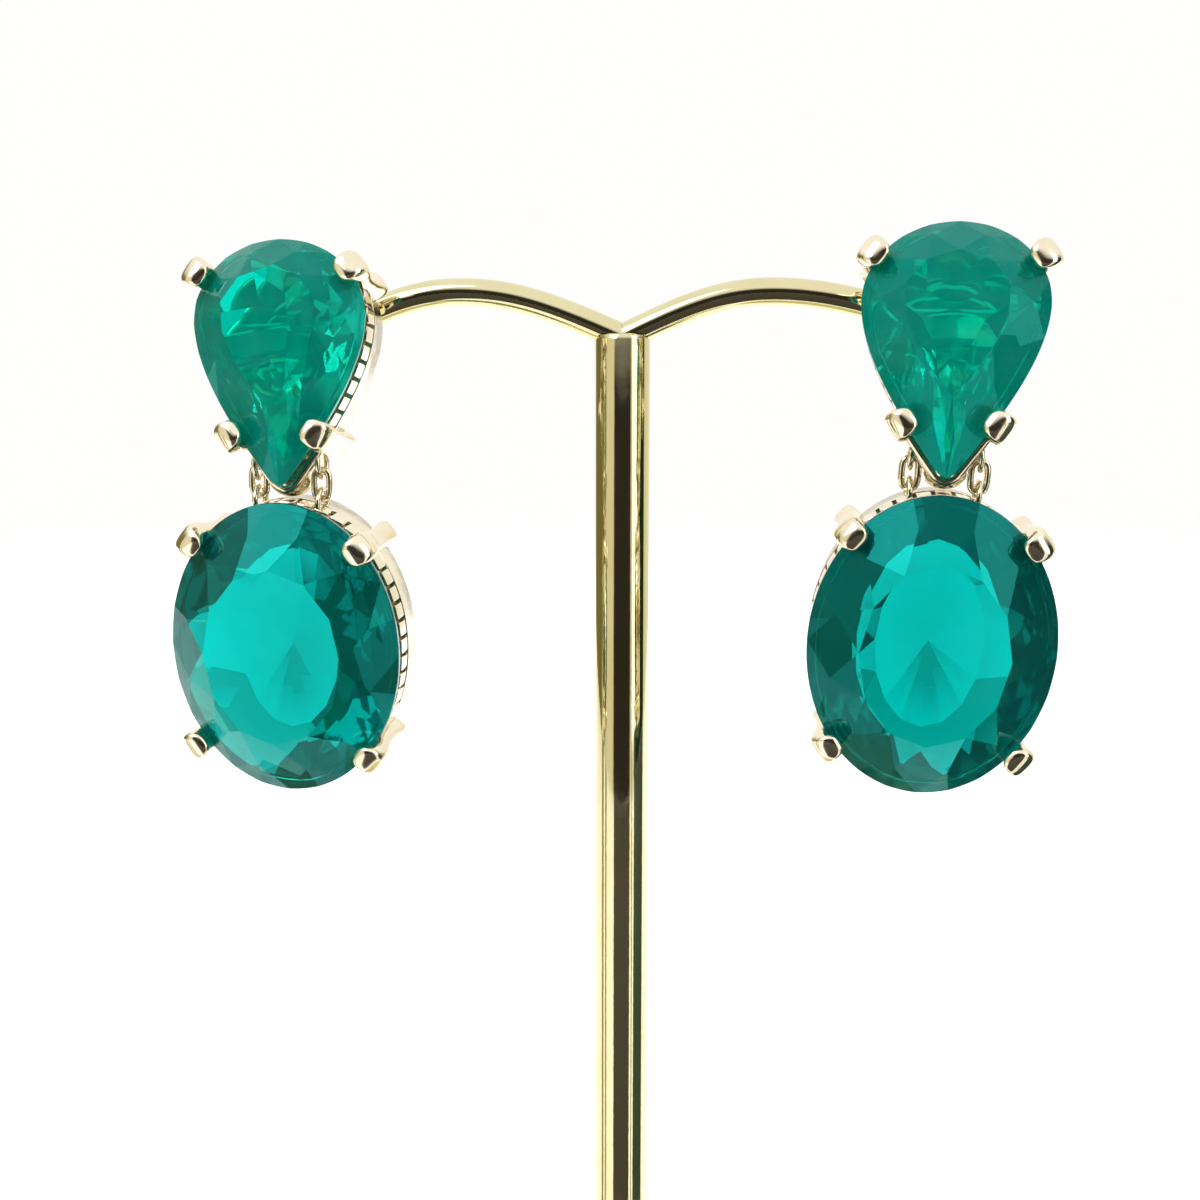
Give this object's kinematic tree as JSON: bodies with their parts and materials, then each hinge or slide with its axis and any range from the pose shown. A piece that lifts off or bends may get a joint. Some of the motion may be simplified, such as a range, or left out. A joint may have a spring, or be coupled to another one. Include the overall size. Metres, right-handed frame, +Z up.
{
  "type": "pair of drop earrings on an earring stand",
  "caption": "Two drop earrings, each an oval cut green stone hung on wire links from a pear cut one, on a small T-shaped metal stand.",
  "frame": {"origin": "centre of the flat underside of the stand's round base", "axes": "+Z up, -Y the way the stones face, +X to the right of someone who looks at the stones"},
  "size_m": [0.0589, 0.044, 0.0913],
  "materials": {
    "stand_metal": "polished",
    "setting_metal": "polished",
    "pear_gem": "polished",
    "oval_gem": "polished"
  },
  "bodies": {
    "stand": {"stand_base": "stand_metal", "stand_frame": "stand_metal", "left_pear_setting": "setting_metal", "left_pear_stone": "pear_gem", "left_ear_nut": "setting_metal", "right_pear_setting": "setting_metal", "right_pear_stone": "pear_gem", "right_ear_nut": "setting_metal"},
    "left_links": {"left_link_1": "setting_metal", "left_link_2": "setting_metal"},
    "left_drop": {"left_oval_setting": "setting_metal", "left_oval_stone": "oval_gem"},
    "right_links": {"right_link_1": "setting_metal", "right_link_2": "setting_metal"},
    "right_drop": {"right_oval_setting": "setting_metal", "right_oval_stone": "oval_gem"}
  },
  "joints": [
    {"name": "left_upper_swing", "type": "hinge", "parent": "stand", "child": "left_links", "pos_m": [-0.02178, -0.00634, 0.07482], "axis": [0.9951, -0.0958, -0.0262], "range_deg": [-5, 5]},
    {"name": "left_lower_swing", "type": "hinge", "parent": "left_links", "child": "left_drop", "pos_m": [-0.02179, -0.00634, 0.07416], "axis": [0.9951, -0.0958, -0.0262], "range_deg": [-6, 6]},
    {"name": "right_upper_swing", "type": "hinge", "parent": "stand", "child": "right_links", "pos_m": [0.02127, -0.0063, 0.07572], "axis": [0.9986, -0.0087, -0.0523], "range_deg": [-5, 5]},
    {"name": "right_lower_swing", "type": "hinge", "parent": "right_links", "child": "right_drop", "pos_m": [0.02124, -0.00629, 0.07506], "axis": [0.9986, -0.0087, -0.0523], "range_deg": [-6, 6]}
  ]
}
